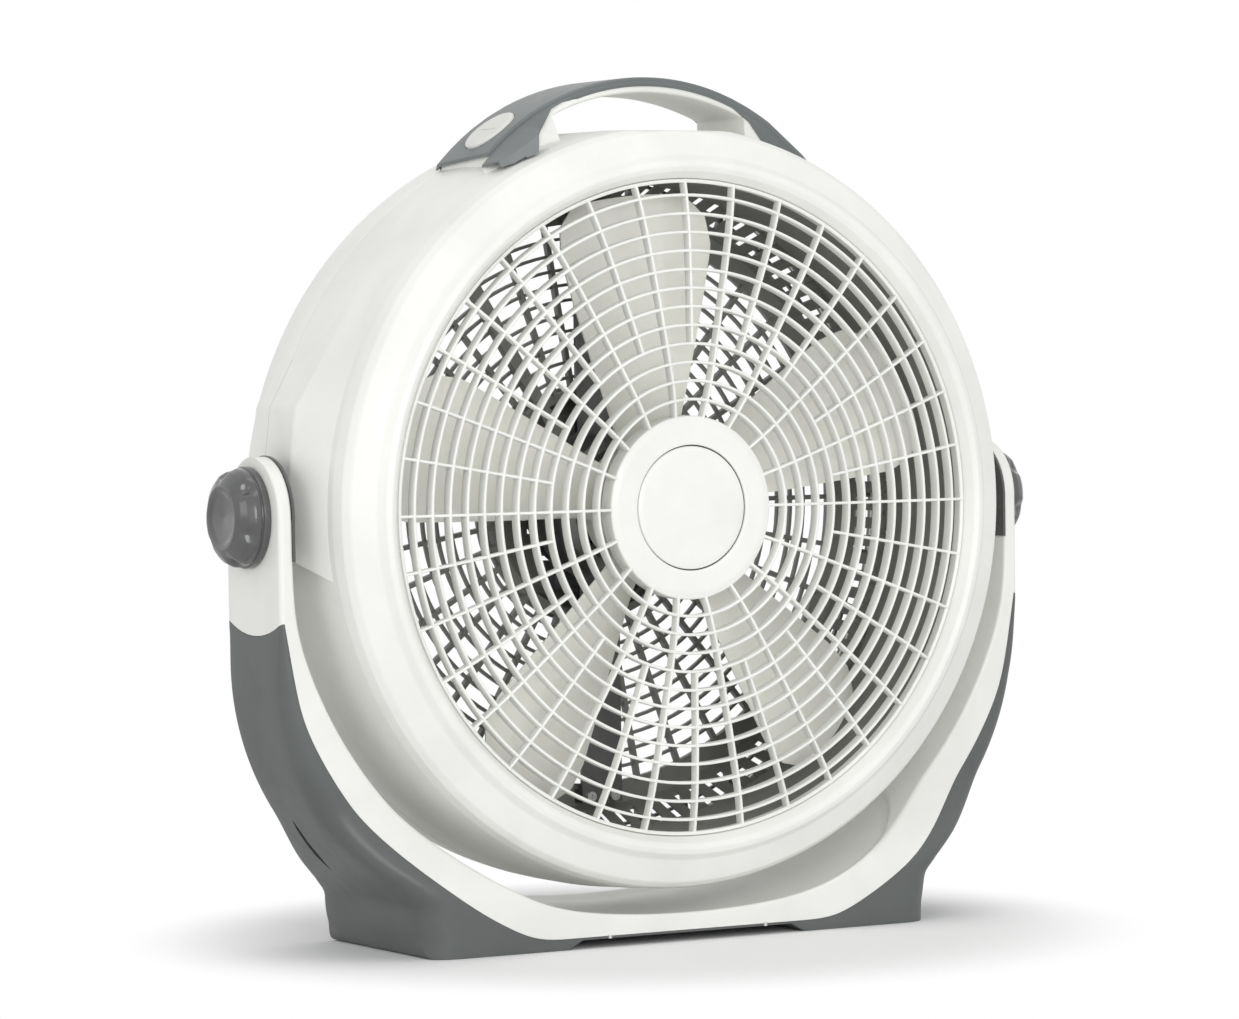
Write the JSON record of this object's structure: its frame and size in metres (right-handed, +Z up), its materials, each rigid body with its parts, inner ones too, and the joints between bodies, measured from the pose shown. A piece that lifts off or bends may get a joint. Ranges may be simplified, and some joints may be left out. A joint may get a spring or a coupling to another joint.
{
  "type": "pivoting floor fan",
  "caption": "Floor fan with a round head that tilts between the arms of a U-shaped base, with a carry handle, a speed dial and a ribbed grille front and back.",
  "frame": {"origin": "on the floor, under the middle of the fan", "axes": "+X along the tilt axis, to the right of someone facing the front; air blows towards -Y; +Z up"},
  "size_m": [0.5902, 0.168, 0.5552],
  "materials": {
    "white_plastic": "satin moulded, fine grain",
    "gray_plastic": "satin moulded, fine grain",
    "dark_plastic": "satin moulded",
    "grille_plastic": "satin moulded ribs",
    "cap_plastic": "polished",
    "blade_plastic": "semi-gloss moulded",
    "dial_plastic": "satin moulded",
    "knob_plastic": "semi-gloss moulded",
    "switch_plastic": "moulded",
    "bush_nylon": "moulded",
    "pad_rubber": "moulded",
    "lead_jacket": "extruded",
    "capacitor_case": "moulded",
    "bracket_steel": "dark paint, semi-gloss",
    "motor_steel": "dark paint, semi-gloss",
    "core_steel": "laminated",
    "winding_copper": null,
    "bright_steel": "ground",
    "zinc_steel": "zinc plated"
  },
  "bodies": {
    "base": {"base_cradle": "white_plastic", "base_wrap": "gray_plastic", "foot_pads": "pad_rubber", "base_screws": "zinc_steel", "arm_bushes": "bush_nylon"},
    "head": {"front_shell": "white_plastic", "rear_shell": "white_plastic", "handle_grip": "white_plastic", "handle_cover": "gray_plastic", "front_grille": "grille_plastic", "hub_cap": "cap_plastic", "air_duct": "dark_plastic", "rear_grille": "dark_plastic", "motor_bracket": "bracket_steel", "wire_channel": "dark_plastic", "motor_front_bell": "motor_steel", "motor_rear_bell": "motor_steel", "stator_core": "core_steel", "stator_windings": "winding_copper", "front_bearing": "bright_steel", "rear_bearing": "bright_steel", "motor_bolts": "zinc_steel", "motor_cap": "dark_plastic", "run_capacitor": "capacitor_case", "speed_switch": "switch_plastic", "switch_lead": "lead_jacket", "shell_screws": "zinc_steel", "rear_grille_screws": "zinc_steel", "bracket_screws": "zinc_steel", "pivot_nuts": "zinc_steel", "friction_washers": "pad_rubber", "cord_bush": "pad_rubber"},
    "fan": {"fan_blade": "blade_plastic", "motor_shaft": "bright_steel", "rotor_core": "core_steel", "blade_nut": "blade_plastic"},
    "dial": {"speed_dial": "dial_plastic", "dial_spindle": "bright_steel"},
    "knob_left": {"tilt_knob_left": "knob_plastic", "knob_stud_left": "zinc_steel"},
    "knob_right": {"tilt_knob_right": "knob_plastic", "knob_stud_right": "zinc_steel"}
  },
  "joints": [
    {"name": "head_tilt", "type": "hinge", "parent": "base", "child": "head", "pos_m": [0, 0, 0.2782], "axis": [1, 0, 0], "range_deg": [-90, 90]},
    {"name": "fan_spin", "type": "hinge", "parent": "head", "child": "fan", "pos_m": [0, 0, 0.2782], "axis": [0, 1, 0], "continuous": true},
    {"name": "dial_turn", "type": "hinge", "parent": "head", "child": "dial", "pos_m": [-0.1, 0, 0.52145], "axis": [-0.6061, 0, 0.7954], "range_deg": [0, 270]},
    {"name": "knob_left_turn", "type": "hinge", "parent": "head", "child": "knob_left", "pos_m": [-0.275, 0, 0.2782], "axis": [-1, 0, 0], "range_deg": [0, 360]},
    {"name": "knob_right_turn", "type": "hinge", "parent": "head", "child": "knob_right", "pos_m": [0.275, 0, 0.2782], "axis": [1, 0, 0], "range_deg": [0, 360]}
  ]
}
